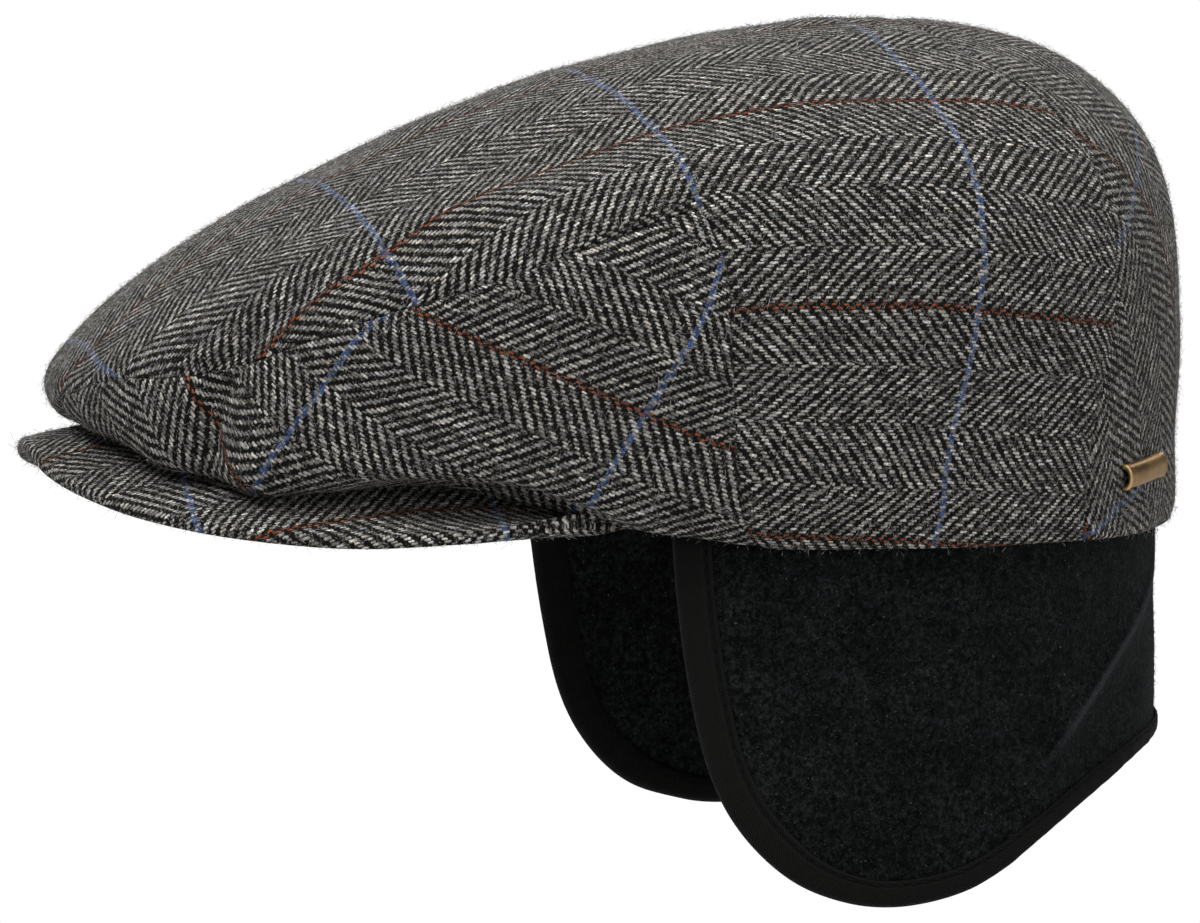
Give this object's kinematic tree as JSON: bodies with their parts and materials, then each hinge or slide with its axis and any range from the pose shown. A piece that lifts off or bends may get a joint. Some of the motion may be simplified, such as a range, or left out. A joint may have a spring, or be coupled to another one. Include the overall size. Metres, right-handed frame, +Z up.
{
  "type": "earflap cap",
  "caption": "Flat cap of herringbone wool with a curved stiff peak and a fleece band hanging over the ears and nape.",
  "frame": {"origin": "middle of the head opening at the height of the crown's lower edge, where the cap sits on a head", "axes": "+Z up; the peak points to -Y; the wearer's left is +X"},
  "size_m": [0.1836, 0.2592, 0.1883],
  "materials": {
    "herringbone_wool": "matte",
    "black_fleece": "matte",
    "black_tape": "matte",
    "aged_brass": "aged"
  },
  "bodies": {
    "root": {"crown_top": "herringbone_wool", "front_panel_left": "herringbone_wool", "front_panel_right": "herringbone_wool", "back_panel": "herringbone_wool", "peak": "herringbone_wool", "earflap_band": "black_fleece", "flap_binding": "black_tape", "pin_bar": "aged_brass"}
  },
  "joints": []
}
